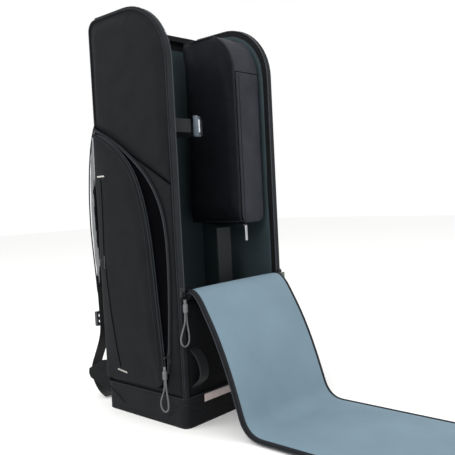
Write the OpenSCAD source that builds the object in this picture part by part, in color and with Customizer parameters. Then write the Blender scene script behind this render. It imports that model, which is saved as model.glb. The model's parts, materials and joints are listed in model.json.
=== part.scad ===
// Tall padded backpack case for a tube telescope, standing open with its front flap laid down.
// The back faces +Y, the opening faces -Y, and the base stands on z = 0 at the origin.

/* [Case] */
// Width over the two side walls
case_w = 286; // [270:1:300]
// Depth over the front flap and the back panel
case_d = 216; // [206:1:226]
// Height of the closed case
case_h = 756; // [740:1:780]
// Thickness of a padded wall
wall_t = 12; // [10:1:12]
// Radius of the walls' large front top corner
front_top_r = 110; // [100:1:115]
// Radius of the walls' back top corner
back_top_r = 22; // [16:1:26]
// Thickness of the outer fabric on a side wall
skin_t = 2; // [1:0.5:2]
// Height of the sloping seam where it meets the back edge
seam_back_z = 556; // [540:1:570]
// Height of the sloping seam where it meets the front edge
seam_front_z = 430; // [415:1:445]

/* [Base] */
// Height of the rugged base cover
base_h = 54; // [48:1:58]
// Thickness of the base cover
base_t = 3; // [2:0.5:3]
// Thickness of the stiff board in the base
board_t = 12; // [8:1:12]
// Thickness of the foam bed on the board
bed_t = 20; // [12:1:24]

/* [Front flap] */
// Height of the line that the flap folds down along
fold_z = 238; // [230:1:246]
// Thickness of the padded flap
flap_t = 10; // [8:1:10]
// Gap between the flap and each side wall
flap_gap = 2; // [1:0.5:3]
// Length of the upper hanging stretch of the flap
flap_upper = 115; // [105:1:125]

/* [Zips and pulls] */
// Length of a zip slider
slider_l = 17; // [15:1:19]
// Width of a zip slider
slider_w = 9; // [8:0.5:9]
// Travel of a main slider up the straight part of its track
slider_travel = 390; // [360:5:395]
// Diameter of the pull cord
cord_d = 3; // [2.5:0.1:3]
// Diameter of a pull's moulded barrel
barrel_d = 8; // [7:0.5:8]
// Length of a pull's moulded barrel
barrel_l = 14; // [12:1:16]

/* [Tube strap] */
// Diameter of the tube that the strap holds
tube_d = 122; // [118:1:122]
// Width of the webbing
webbing_w = 25; // [20:1:28]
// Thickness of the webbing
webbing_t = 2; // [1.5:0.1:2.2]
// Height of the strap's lower edge
strap_z = 528; // [500:1:540]

/* [Accessory pouch] */
// Width of the pouch
pouch_w = 70; // [64:1:70]
// Depth of the pouch's body behind its lid
pouch_d = 145; // [120:1:150]
// Height of the pouch
pouch_h = 384; // [370:1:388]
// Height of the pouch's underside
pouch_z = 350; // [345:1:352]
// Thickness of the pouch's padded walls
pouch_wall = 6; // [4:0.5:7]
// Thickness of the pouch's lid
lid_t = 5; // [4:0.5:5]

/* [Carrying straps] */
// Width of a shoulder strap's pad
pad_w = 66; // [58:1:70]
// Thickness of a shoulder strap's pad
pad_t = 12; // [9:1:13]
// Distance of a shoulder strap's middle from the case's middle
pad_x = 85; // [78:1:88]

/* [Hidden] */
$fn = 96;

// A sliver that lets a cutter pass clean through a face
over = 1;

// Planes of the case
wall_x = case_w / 2 - wall_t;
front_y = -case_d / 2;
back_y = case_d / 2;
floor_z = base_t + 1;
bed_z = floor_z + board_t;
lining_t = 1.5;
rim_t = 1.5;
zip_end_y = 86;

// Flap: hinge points down the draped flap, seen from the side as [y, z]
flap_w = 2 * (wall_x - flap_gap);
flap_mid_y = front_y + flap_t / 2;
fold_len = 26;
fold_angle = 75;
upper_angle = 150;
lower_angle = 162;
straight_len = case_h - front_top_r - fold_z;
arc_mid_r = front_top_r - flap_t / 2;
arc_step = 45;
arc_chord = 2 * arc_mid_r * sin(arc_step / 2);
top_len = zip_end_y - (front_y + front_top_r) - 1;
rest_z = flap_t / 2 + 0.5;
function along(p, angle, len) = [p[0] - len * sin(angle), p[1] + len * cos(angle)];
hinge_fold = [flap_mid_y, fold_z];
hinge_1 = along(hinge_fold, fold_angle, fold_len);
hinge_2 = along(hinge_1, upper_angle, flap_upper);
flap_lower = (hinge_2[1] - rest_z) / -cos(lower_angle);
hinge_3 = along(hinge_2, lower_angle, flap_lower);
flap_last = straight_len - fold_len - flap_upper - flap_lower;
hinge_4 = along(hinge_3, 90, flap_last);
hinge_5 = along(hinge_4, 90, arc_chord);
hinge_6 = along(hinge_5, 90, arc_chord);
wide_gap = 4.5;
narrow_gap = 2.5;

// Side pocket: the curved front edge of its panel, as [y, z]
pocket_edge = [
    [-62, 74], [-69, 90], [-69, 107], [-66, 150], [-62, 200], [-58, 250], [-54, 300],
    [-49, 345], [-41, 388], [-29, 428], [-12, 462], [14, 492], [48, 518], [84, 536], [102, 544]
];
pocket_gap = 5;
pocket_t = 4;
pocket_back_y = 102;
pocket_low_z = 62;

// Side seam, as the height at a given depth
function seam_z(y) = seam_back_z + (seam_front_z - seam_back_z) * (back_y - y) / case_d;

// Zip pull: the loop's route below the barrel, as [x, z]
loop_route = [
    [-1.7, 0], [-1.7, -5], [-2, -11], [-3, -17], [-5, -23], [-8, -29], [-11, -35],
    [-13.5, -41], [-14.5, -47], [-13, -53], [-9.5, -57.5], [-4.5, -59.5], [0.5, -58], [4, -54],
    [5.5, -48], [5.5, -42], [5, -36], [4, -30], [3, -24], [2.3, -18], [1.9, -11], [1.7, -5], [1.7, 0]
];
pull_y = front_y - 9;
pull_x = wall_x + 8;
slider_y = front_y - rim_t - 0.3;
slider_t = 7;
slider_plate = 2.6;
bridge_w = 3;
bridge_h = 4;
barrel_drop = 15;
pocket_pull_y = -76;
side_x = -case_w / 2 - skin_t;
pocket_slider_z = 118;
pocket_pull_out = 14;

// Tube strap: the tube's middle, and the strap's radius outside it
tube_x = -wall_x + lining_t + tube_d / 2 + 1;
tube_y = -10;
strap_r = tube_d / 2 + 1;
buckle_angle = 303;
buckle_w = 38;
buckle_t = 9;
socket_l = 27;
plug_l = 20;
anchor_gap = 4;
anchor_l = 12;
strap_step = 6;
strap_tail_y = back_y - wall_t - lining_t - anchor_l - anchor_gap - tube_y;

// Pouch
pouch_x = 52;
pouch_front_y = -89;
pouch_corner_r = 18;
pouch_inset = 19;
pouch_mouth_top = 640;
lid_h = 300;
pouch_slider_w = 12;
puller_l = 30;
puller_t = 2;
pouch_puller_y = pouch_front_y - 2.3 - puller_t;

// Sling under the pouch: its middle line from the back panel to its free end, as [y, z]
sling_x = 22;
sling_w = 40;
sling_route = [
    [94, 214], [40, 212], [-6, 212], [-30, 215], [-43, 223], [-48.5, 236], [-49.5, 260],
    [-49.5, 300], [-49.5, 344]
];

// Shoulder strap: the middle line of the pad and of the webbing below it, as [y, z]
pad_route = [
    [114.5, 626], [114.5, 610], [120, 594], [132, 577], [146, 556], [158, 525], [167, 485],
    [173, 440], [176, 395], [176, 350], [173, 305], [169, 262], [166, 222]
];
webbing_route = [
    [165, 221.5], [164, 190], [164, 148], [170, 124], [184, 96], [200, 66],
    [203, 46], [194, 26], [178, 11], [160, 4]
];
webbing_x = pad_x + (pad_w - webbing_w) / 2;
wing_t = 4;
wing_x = webbing_x + (webbing_w + wing_t) / 2 + 0.3;
lock_z = 182;
lock_h = 30;
lock_t = 8;

// Turns a drawing of [y, z] points into a solid that starts at x and runs length along +X
module along_x(x, length) {
    translate([x, 0, 0]) rotate([90, 0, 90]) linear_extrude(length) children();
}

// Turns a drawing of [x, z] points into a solid that starts at y and runs length along -Y
module along_y(y, length) {
    translate([0, y, 0]) rotate([90, 0, 0]) linear_extrude(length) children();
}

// The corner of a square of side r that lies outside a circle of radius r
module corner_waste(r) {
    difference() {
        translate([-over, 0]) square([r + over, r + over]);
        translate([r, 0]) circle(r);
    }
}

// Side view of the case, drawn inset from its outline, from a height upwards
module side_outline(inset, low) {
    front = front_y + inset;
    back = back_y - inset;
    top = case_h - inset;
    difference() {
        translate([front, low]) square([back - front, top - low]);
        translate([front, top - front_top_r + inset]) corner_waste(front_top_r - inset);
        if (back_top_r > inset)
            translate([back, top - back_top_r + inset]) mirror([1, 0]) corner_waste(back_top_r - inset);
    }
}

// A band of even thickness along a route of points
function lean(route, i) =
    let (a = route[max(i - 1, 0)], b = route[min(i + 1, len(route) - 1)], d = b - a)
    [-d[1], d[0]] / norm(d);
module band(route, thickness) {
    last = len(route) - 1;
    near_side = [for (i = [0 : last]) route[i] + lean(route, i) * thickness / 2];
    far_side = [for (i = [last : -1 : 0]) route[i] - lean(route, i) * thickness / 2];
    polygon(concat(near_side, far_side));
}

// A rectangle with rounded corners
module rounded(size, r) {
    translate([r, 0]) square([size[0] - 2 * r, size[1]]);
    translate([0, r]) square([size[0], size[1] - 2 * r]);
    for (x = [r, size[0] - r], y = [r, size[1] - r])
        translate([x, y]) circle(r);
}

module base_cover() {
    outer_w = case_w + 2 * base_t;
    outer_d = case_d + 2 * base_t;
    color("#2b2c2e") difference() {
        translate([-outer_w / 2, -outer_d / 2, 0])
            linear_extrude(base_h) rounded([outer_w, outer_d], 12);
        translate([-case_w / 2, front_y, floor_z]) cube([case_w, case_d, base_h]);
    }
}

module base_board() {
    color("#3a3a3c") translate([-wall_x, front_y + flap_t, floor_z])
        cube([2 * wall_x, case_d - flap_t - wall_t, board_t]);
}

module foam_bed() {
    color("#34424a") translate([-wall_x + lining_t, front_y + flap_t, bed_z])
        cube([2 * (wall_x - lining_t), case_d - flap_t - wall_t - lining_t, bed_t]);
}

module wall(x) {
    color("#26282a") along_x(x, wall_t) side_outline(0, floor_z);
}

module left_wall() {
    wall(-case_w / 2);
}

module right_wall() {
    wall(wall_x);
}

module back_panel() {
    color("#242527") along_x(-wall_x, 2 * wall_x) difference() {
        side_outline(0, floor_z);
        side_outline(wall_t, 0);
        translate([front_y - over, 0]) square([zip_end_y - front_y + 1 + over, case_h + over]);
    }
}

// The part of a side wall's outer fabric above or below the sloping seam
module skin(x, upper) {
    side = upper ? case_h + over : 0;
    seam_gap = upper ? 0.5 : -0.5;
    color("#27292b") along_x(x, skin_t) intersection() {
        side_outline(5, base_h + 1);
        polygon([
            [front_y, seam_front_z + seam_gap], [back_y, seam_back_z + seam_gap],
            [back_y, side], [front_y, side]
        ]);
    }
}

module left_upper_skin() {
    skin(side_x, true);
}

module left_lower_skin() {
    skin(side_x, false);
}

module right_upper_skin() {
    skin(case_w / 2, true);
}

module right_lower_skin() {
    skin(case_w / 2, false);
}

module inner_lining() {
    low = bed_z + bed_t;
    color("#3c5560") {
        for (x = [-wall_x, wall_x - lining_t])
            along_x(x, lining_t) side_outline(wall_t, low);
        translate([-wall_x, back_y - wall_t - lining_t, low])
            cube([2 * wall_x, lining_t, case_h - wall_t - back_top_r - low]);
    }
}

module front_panel() {
    color("#222325") translate([-wall_x, front_y, floor_z])
        cube([2 * wall_x, flap_t, fold_z - wide_gap - floor_z]);
}

// Zip tape that runs up a side wall's front edge and over its top
module rim_zip(x) {
    color("#3b3e41") along_x(x, slider_w) intersection() {
        difference() {
            side_outline(-rim_t, base_h);
            side_outline(0, 0);
        }
        translate([front_y - 2 * rim_t, base_h + 1])
            square([zip_end_y - front_y + 2 * rim_t, case_h]);
    }
}

module left_rim_zip() {
    rim_zip(-pull_x - slider_w / 2 + 1);
}

module right_rim_zip() {
    rim_zip(pull_x - slider_w / 2 - 1);
}

module reflective_strip() {
    strip_w = 196;
    strip_h = 14;
    color("#c9b9b8") translate([-strip_w / 2, front_y - base_t - 0.6, base_h - strip_h - 2])
        cube([strip_w, 0.6, strip_h]);
}

module front_grab_loop() {
    loop_w = 22;
    loop_x = -126;
    route = [[-109, 140], [-111, 136], [-123, 126], [-131, 112], [-133, 99], [-128, 87], [-112, 75], [-109, 71]];
    color("#2e3032") along_x(loop_x, loop_w) band(route, webbing_t);
}

module right_side_tab() {
    tab_l = 42;
    tab_h = 46;
    color("#59625c") translate([case_w / 2 + skin_t, front_y + 18, 192]) cube([tab_l, 2.5, tab_h]);
}

module pocket_outline() {
    polygon(concat([[pocket_back_y, pocket_low_z], [-50, pocket_low_z]], pocket_edge));
}

module pocket_gusset() {
    hem = 8;
    color("#1f2022") along_x(side_x - pocket_gap + 0.4, pocket_gap - 0.4) intersection() {
        pocket_outline();
        union() {
            translate([front_y, pocket_low_z]) square([case_d, hem]);
            translate([pocket_back_y - hem, pocket_low_z]) square([hem, seam_back_z]);
        }
    }
}

module pocket_panel() {
    color("#2a2c2e") along_x(side_x - pocket_gap - pocket_t, pocket_t) pocket_outline();
}

// A zip slider whose middle is at the origin, with the bridge that its pull hangs from towards -Y
module slider(reach) {
    color("#1c1d1f") {
        translate([-slider_w / 2, -slider_plate, -slider_l / 2]) cube([slider_w, slider_plate, slider_l]);
        translate([-bridge_w / 2, -reach, 2]) cube([bridge_w, reach - slider_plate, bridge_h]);
    }
}

module pull_barrel() {
    link_l = 10;
    color("#8b8c8d") {
        cylinder(h = barrel_l, d = barrel_d, center = false);
        translate([-2.5, -1, barrel_l]) cube([5, 2, link_l - 2]);
    }
}

// A tube of eight sides swept along the loop's route
module loop_tube() {
    sides = 8;
    last = len(loop_route) - 1;
    rings = [
        for (i = [0 : last], k = [0 : sides - 1])
            let (n = lean(loop_route, i), a = 360 * k / sides, p = loop_route[i])
            let (across = (i == 0 || i == last) ? [1, 0] * sign(n[0]) : n)
            [p[0] + across[0] * cos(a) * cord_d / 2, sin(a) * cord_d / 2, p[1] + across[1] * cos(a) * cord_d / 2]
    ];
    skins = [
        for (i = [0 : last - 1], k = [0 : sides - 1])
            let (j = (k + 1) % sides, a = i * sides, b = a + sides)
            [a + k, a + j, b + j, b + k]
    ];
    ends = [
        [for (k = [sides - 1 : -1 : 0]) k],
        [for (k = [0 : sides - 1]) last * sides + k]
    ];
    color("#8a8a8a") polyhedron(points = rings, faces = concat(skins, ends), convexity = 6);
}

// Where each pull's barrel ends below, as [x, y, z]
left_pull_at = [-pull_x, pull_y, fold_z - barrel_drop - barrel_l];
right_pull_at = [pull_x, pull_y, fold_z - barrel_drop - barrel_l];
pocket_pull_at = [side_x - pocket_pull_out, pocket_pull_y, pocket_slider_z - barrel_drop - barrel_l];

module left_slider() {
    translate([-pull_x, slider_y, fold_z + 5]) slider(slider_t);
}

module right_slider() {
    translate([pull_x, slider_y, fold_z + 5]) slider(slider_t);
}

module pocket_slider() {
    translate([side_x - 0.5, pocket_pull_y, pocket_slider_z + 5]) rotate([0, 0, -90]) slider(pocket_pull_out);
}

module left_pull_barrel() {
    translate(left_pull_at) pull_barrel();
}

module right_pull_barrel() {
    translate(right_pull_at) pull_barrel();
}

module pocket_pull_barrel() {
    translate(pocket_pull_at) rotate([0, 0, -90]) pull_barrel();
}

module left_pull_cord() {
    translate(left_pull_at) loop_tube();
}

module right_pull_cord() {
    translate(right_pull_at) mirror([1, 0, 0]) loop_tube();
}

module pocket_pull_cord() {
    translate(pocket_pull_at) rotate([0, 0, -90]) loop_tube();
}

module back_pad() {
    pad_low = 300;
    color("#6d6f70") along_y(back_y + pad_t, pad_t)
        translate([-case_w / 2 + 22, pad_low]) rounded([case_w - 44, 268], 20);
}

module lumbar_pad() {
    color("#6d6f70") along_y(back_y + pad_t, pad_t)
        translate([-case_w / 2 + 22, 118]) rounded([case_w - 44, 150], 20);
}

module shoulder_strap(x) {
    color("#303234") along_x(x - pad_w / 2, pad_w) band(pad_route, pad_t);
}

module left_shoulder_strap() {
    shoulder_strap(-pad_x);
}

module right_shoulder_strap() {
    shoulder_strap(pad_x);
}

module strap_webbing(x) {
    color("#2c2d2f") along_x(x - webbing_w / 2, webbing_w) band(webbing_route, webbing_t);
}

module left_strap_webbing() {
    strap_webbing(-webbing_x);
}

module right_strap_webbing() {
    strap_webbing(webbing_x);
}

// The fabric wing that ties the webbing to the case's lower back edge
module strap_wing(x) {
    near = back_y + base_t + 0.5;
    color("#1d1e20") along_x(x - wing_t / 2, wing_t)
        polygon([
            [back_y, 92], [back_y, base_h + 1], [near, base_h], [near, 12], [204, 38], [209, 46],
            [207, 58], [160, 82]
        ]);
}

module left_strap_wing() {
    strap_wing(-wing_x);
}

module right_strap_wing() {
    strap_wing(wing_x);
}

// A ladder lock: a small frame of three bars that lies on the webbing
module ladder_lock(x) {
    frame_w = webbing_w + 10;
    bar_h = 6;
    slot_h = (lock_h - 3 * bar_h) / 2;
    color("#1b1c1e") translate([x, webbing_route[1][0] + webbing_t / 2 + 0.4, lock_z - lock_h]) difference() {
        translate([-frame_w / 2, 0, 0]) cube([frame_w, lock_t, lock_h]);
        for (z = [bar_h, 2 * bar_h + slot_h])
            translate([-webbing_w / 2, -over, z]) cube([webbing_w, lock_t + 2 * over, slot_h]);
    }
}

module left_ladder_lock() {
    ladder_lock(-webbing_x);
}

module right_ladder_lock() {
    ladder_lock(webbing_x);
}

module grab_handle() {
    handle_w = 120;
    handle_h = 48;
    grip_h = 20;
    leg_w = 22;
    color("#2a2b2d") along_y(back_y + 9, 8) difference() {
        translate([-handle_w / 2, 712 - handle_h]) rounded([handle_w, handle_h], 9);
        translate([-handle_w / 2 + leg_w, 712 - handle_h + grip_h])
            square([handle_w - 2 * leg_w, handle_h]);
    }
}

// Points round the strapped tube from one angle to another, in the middle of the webbing
function strap_points(from, to) = [
    for (a = [from : strap_step : to]) (strap_r + webbing_t / 2) * [cos(a), sin(a)]
];

// Webbing round the strapped tube, along a route seen from above
module strap_band(route) {
    translate([tube_x, tube_y, strap_z]) linear_extrude(webbing_w) band(route, webbing_t);
}

// Places a buckle part against the tube, its length along the strap
module on_strap() {
    translate([tube_x, tube_y, strap_z + webbing_w / 2]) rotate([0, 0, buckle_angle])
        translate([strap_r - 1, 0, 0]) children();
}

module tube_strap_left() {
    color("#2f3133") strap_band(strap_points(198, buckle_angle - 24));
}

module buckle_socket() {
    color("#4c5660") on_strap() translate([0.5, -socket_l + 4, -buckle_w / 2]) difference() {
        cube([buckle_t, socket_l, buckle_w]);
        translate([2, 8, -over]) cube([buckle_t - 4, socket_l - 12, 5 + over]);
        translate([2, 8, buckle_w - 5]) cube([buckle_t - 4, socket_l - 12, 5 + over]);
    }
}

module buckle_plug() {
    color("#2c2f33") on_strap() translate([0.5, 4.4, -buckle_w / 2 + 3]) difference() {
        cube([buckle_t - 1, plug_l, buckle_w - 6]);
        translate([-over, 7, 3.5]) cube([buckle_t + 2 * over, 5, webbing_w]);
    }
}

module tube_strap_right() {
    arc = strap_points(buckle_angle + 27, 360);
    tail = [[strap_r + webbing_t / 2, strap_tail_y]];
    color("#2f3133") strap_band(concat(arc, tail));
}

module tube_strap_anchor() {
    color("#2f3133") translate([tube_x + strap_r - 1, tube_y + strap_tail_y + anchor_gap, strap_z])
        cube([webbing_t + 2, anchor_l, webbing_w]);
}

// Front view of the pouch, drawn inset from its outline
module pouch_outline(inset) {
    translate([pouch_x + inset, pouch_z + inset])
        rounded([pouch_w - 2 * inset, pouch_h - 2 * inset], pouch_corner_r - inset);
}

// A block of the pouch's outline that keeps clear of the closed flap
module pouch_block(y, length, inset) {
    intersection() {
        along_y(y, length) pouch_outline(inset);
        along_x(pouch_x, pouch_w) side_outline(pouch_inset + inset, 0);
    }
}

module pouch_body() {
    color("#232527") difference() {
        pouch_block(pouch_front_y + pouch_d, pouch_d, 0);
        pouch_block(pouch_front_y + pouch_d - pouch_wall, pouch_d, pouch_wall);
        translate([pouch_x + pouch_wall, pouch_front_y - over, pouch_z + pouch_wall])
            cube([pouch_w - 2 * pouch_wall, 2 * pouch_wall, pouch_mouth_top - pouch_z - pouch_wall]);
    }
}

module pouch_lid() {
    color("#4a4b52") along_y(pouch_front_y - 0.3, lid_t)
        translate([pouch_x, pouch_z]) rounded([pouch_w, lid_h], pouch_corner_r);
}

module pouch_slider() {
    color("#34373a") translate([pouch_x + 4, pouch_front_y - 2, pouch_z - 4.5])
        cube([pouch_slider_w, slider_w, 4]);
}

module pouch_puller() {
    puller_w = 7;
    color("#9b9fa1") translate([pouch_x + 4 + (pouch_slider_w - puller_w) / 2, pouch_puller_y, pouch_z - 3 - puller_l])
        cube([puller_w, puller_t, puller_l]);
}

module pouch_webbing() {
    color("#3a3c3d") along_x(sling_x, sling_w) band(sling_route, webbing_t);
}

// One stretch of the flap, from a hinge point along an angle, clear of its ends
module flap_stretch(start, angle, len, gap_near, gap_far) {
    color("#6f8997") translate([-flap_w / 2, start[0], start[1]]) rotate([angle, 0, 0])
        translate([0, -flap_t / 2, gap_near]) cube([flap_w, flap_t, len - gap_near - gap_far]);
}

module flap_fold() {
    flap_stretch(hinge_fold, fold_angle, fold_len, wide_gap, wide_gap);
}

module flap_panel_1() {
    flap_stretch(hinge_1, upper_angle, flap_upper, wide_gap, narrow_gap);
}

module flap_panel_2() {
    flap_stretch(hinge_2, lower_angle, flap_lower, narrow_gap, wide_gap);
}

module flap_panel_3() {
    flap_stretch(hinge_3, 90, flap_last, wide_gap, narrow_gap);
}

module flap_panel_4() {
    flap_stretch(hinge_4, 90, arc_chord, narrow_gap, narrow_gap);
}

module flap_panel_5() {
    flap_stretch(hinge_5, 90, arc_chord, narrow_gap, narrow_gap);
}

module flap_panel_6() {
    flap_stretch(hinge_6, 90, top_len, narrow_gap, 0);
}

base_cover();
base_board();
foam_bed();
left_wall();
right_wall();
back_panel();
left_upper_skin();
left_lower_skin();
right_upper_skin();
right_lower_skin();
inner_lining();
front_panel();
left_rim_zip();
right_rim_zip();
reflective_strip();
front_grab_loop();
right_side_tab();
pocket_gusset();
pocket_panel();
pocket_slider();
pocket_pull_barrel();
pocket_pull_cord();
left_slider();
left_pull_barrel();
left_pull_cord();
right_slider();
right_pull_barrel();
right_pull_cord();
back_pad();
lumbar_pad();
left_shoulder_strap();
right_shoulder_strap();
left_strap_webbing();
right_strap_webbing();
left_strap_wing();
right_strap_wing();
left_ladder_lock();
right_ladder_lock();
grab_handle();
tube_strap_left();
buckle_socket();
buckle_plug();
tube_strap_right();
tube_strap_anchor();
pouch_body();
pouch_lid();
pouch_slider();
pouch_puller();
pouch_webbing();
flap_fold();
flap_panel_1();
flap_panel_2();
flap_panel_3();
flap_panel_4();
flap_panel_5();
flap_panel_6();
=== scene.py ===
"""Builds the telescope carry case's fabric, foam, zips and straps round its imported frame, by an add-on."""
import json
import math

import bmesh
import bpy
from mathutils import Matrix, Vector


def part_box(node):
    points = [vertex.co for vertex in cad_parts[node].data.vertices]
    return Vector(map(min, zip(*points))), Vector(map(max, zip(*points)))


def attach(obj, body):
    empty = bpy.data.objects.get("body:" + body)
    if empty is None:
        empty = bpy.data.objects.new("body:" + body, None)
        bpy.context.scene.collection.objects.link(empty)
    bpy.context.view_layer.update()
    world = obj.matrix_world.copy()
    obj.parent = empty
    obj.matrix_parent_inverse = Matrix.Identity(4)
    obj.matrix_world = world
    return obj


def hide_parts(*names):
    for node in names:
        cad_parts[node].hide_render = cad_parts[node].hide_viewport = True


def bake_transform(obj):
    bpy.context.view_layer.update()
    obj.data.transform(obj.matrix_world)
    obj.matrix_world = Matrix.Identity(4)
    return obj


bl_info = {
    "name": "Telescope carry case",
    "version": (1, 0, 0),
    "blender": (4, 5, 0),
    "location": "3D View > Sidebar > Case",
    "description": "Builds a padded backpack case for a tube telescope",
    "category": "Object",
}

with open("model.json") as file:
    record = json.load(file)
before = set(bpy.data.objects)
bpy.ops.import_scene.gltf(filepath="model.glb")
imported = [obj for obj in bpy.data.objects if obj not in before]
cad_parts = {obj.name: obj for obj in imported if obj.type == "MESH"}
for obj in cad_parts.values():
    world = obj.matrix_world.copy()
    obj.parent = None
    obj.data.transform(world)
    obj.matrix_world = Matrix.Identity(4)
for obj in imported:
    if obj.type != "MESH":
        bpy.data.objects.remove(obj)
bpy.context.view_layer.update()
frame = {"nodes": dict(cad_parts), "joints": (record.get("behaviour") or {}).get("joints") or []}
MM = 0.001
X, Y, Z = Vector((1, 0, 0)), Vector((0, 1, 0)), Vector((0, 0, 1))

# Planes that a flat drawing is turned into: its own X, Y and depth become these directions of the frame
SIDE = Matrix(((0, 0, 1, 0), (1, 0, 0, 0), (0, 1, 0, 0), (0, 0, 0, 1)))
FRONT = Matrix(((1, 0, 0, 0), (0, 0, -1, 0), (0, 1, 0, 0), (0, 0, 0, 1)))
TOP = Matrix.Identity(4)


def span(part):
    """A CAD node's lowest and highest corners, in millimetres."""
    return [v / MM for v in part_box(part)]


# The case's planes in millimetres, read from the frame
WALL_LOW, WALL_HIGH = span("left_wall")
OUTER_X, INNER_X = -WALL_LOW.x, -WALL_HIGH.x
FRONT_Y, BACK_Y, TOP_Z = WALL_LOW.y, WALL_HIGH.y, WALL_HIGH.z
BASE_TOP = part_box("base_cover")[1].z / MM
FRONT_TOP_R, BACK_TOP_R = 110, 22
SEAM = ((BACK_Y, 556), (FRONT_Y, 430))


def linear(code):
    """An sRGB hex colour as linear red, green, blue and alpha."""
    parts = [int(code[i:i + 2], 16) / 255 for i in (1, 3, 5)]
    return tuple(c / 12.92 if c <= 0.04045 else ((c + 0.055) / 1.055) ** 2.4 for c in parts) + (1.0,)


def colour(name, code):
    """A colour property whose default is an sRGB hex value."""
    return bpy.props.FloatVectorProperty(
        name=name, description=f"Colour of the {name.lower()}", subtype="COLOR", size=4,
        min=0, max=1, default=linear(code))


def length(name, text, default):
    """A length property, in metres."""
    return bpy.props.FloatProperty(name=name, description=text, default=default, min=0, unit="LENGTH")


class CaseSizes(bpy.types.PropertyGroup):
    voxel: length("Remesh grid", "Grid that padded pieces are remeshed on", 0.006)
    piping: length("Piping", "Radius of the piping at the panel edges", 0.0017)
    tooth: length("Tooth pitch", "Distance from one zip tooth to the next", 0.0034)
    cord: length("Pull cord", "Diameter of the zip pulls' cord", 0.003)


class CaseColours(bpy.types.PropertyGroup):
    outer: colour("Outer fabric", "#111315")
    wall: colour("Wall fabric", "#0F1012")
    base: colour("Base fabric", "#141517")
    # painted shade: near black, for the shade inside the open side pocket and in the seam and dart creases
    dark: colour("Painted shade", "#050507")
    lining: colour("Flap lining", "#6A7E8A")
    inside: colour("Case lining", "#2E3A3E")
    tape: colour("Zip tape", "#1D1F22")
    teeth: colour("Zip teeth", "#3C4046")
    webbing: colour("Webbing", "#17191B")
    mesh: colour("Spacer mesh", "#76787A")
    pouch: colour("Pouch fabric", "#292B30")
    # painted shade: a darker copy of the pouch fabric for the pouch's shaded sides
    gusset: colour("Pouch sides in painted shade", "#101216")
    pull: colour("Zip pulls", "#5C5E60")
    reflective: colour("Reflective tape", "#CDBFBC")
    buckle: colour("Buckle socket", "#4F5963")
    label: colour("Buckle label", "#D9DEE2")
    thread: colour("Bar tacks", "#D4D2CC")


# ---------------------------------------------------------------- materials

# A wave texture's bands are this many metres apart at scale 1
BAND = 0.314


def node(tree, kind, inputs=None, **settings):
    """Adds one shader node, with its settings, its input values and its incoming links."""
    made = tree.nodes.new(kind)
    for key, value in settings.items():
        setattr(made, key, value)
    for key, value in (inputs or {}).items():
        if isinstance(value, bpy.types.NodeSocket):
            tree.links.new(value, made.inputs[key])
        else:
            made.inputs[key].default_value = value
    return made


def shader(name, values):
    """A new material, its node tree, its Principled shader with the even values set, and object coordinates."""
    made = bpy.data.materials.new(name)
    made.use_nodes = True
    tree = made.node_tree
    principled = tree.nodes["Principled BSDF"]
    for key, value in values.items():
        principled.inputs[key].default_value = value
    return made, tree, principled, node(tree, "ShaderNodeTexCoord").outputs["Object"]


def bump(tree, height, strength, depth, under=None):
    """A bump of some millimetres from a height, over another bump if one is given: its normal."""
    inputs = {"Height": height, "Strength": strength, "Distance": depth * MM}
    if under:
        inputs["Normal"] = under
    return node(tree, "ShaderNodeBump", inputs).outputs["Normal"]


def toned(tree, principled, base, place, spread, scale):
    """Gives the colour a soft drift between two tones, in patches about 1/scale metres wide."""
    patches = node(tree, "ShaderNodeTexNoise", {"Vector": place, "Scale": scale, "Detail": 4.0, "Roughness": 0.6})
    tones = node(tree, "ShaderNodeValToRGB", {"Fac": patches.outputs["Fac"]})
    dark, light = tones.color_ramp.elements
    dark.position, light.position = 0.3, 0.7
    dark.color = tuple(c * (1 - spread) for c in base[:3]) + (1,)
    light.color = tuple(min(1, c * (1 + spread)) for c in base[:3]) + (1,)
    tree.links.new(tones.outputs["Color"], principled.inputs["Base Color"])


def cloth(name, base, thread, depth, rough, sheen, spread=0.18, folds=0.0, patch=28, shine=0.1):
    """A woven fabric: two sets of crossing threads a given number of millimetres apart, over slow folds."""
    made, tree, principled, place = shader(name, {
        "Roughness": rough, "Sheen Weight": sheen, "Sheen Roughness": 0.5, "Specular IOR Level": shine,
        "Sheen Tint": tuple(min(1, c * 3 + 0.08) for c in base[:3]) + (1,)})
    threads = []
    for turn in (1, -1):
        turned = node(tree, "ShaderNodeMapping", {"Vector": place, "Scale": (1, turn, 1)})
        wave = node(tree, "ShaderNodeTexWave", {
            "Vector": turned.outputs["Vector"], "Scale": BAND / (thread * MM), "Distortion": 0.4, "Detail": 1.0},
            bands_direction="DIAGONAL")
        threads.append(wave.outputs["Fac"])
    weave = node(tree, "ShaderNodeMath", {0: threads[0], 1: threads[1]}, operation="MAXIMUM")
    slack = node(tree, "ShaderNodeTexNoise", {"Vector": place, "Scale": 22.0, "Detail": 3.0})
    fold = bump(tree, slack.outputs["Fac"], 0.5, folds)
    tree.links.new(bump(tree, weave.outputs["Value"], 0.6, depth, fold), principled.inputs["Normal"])
    toned(tree, principled, base, place, spread, patch)
    return made


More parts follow.
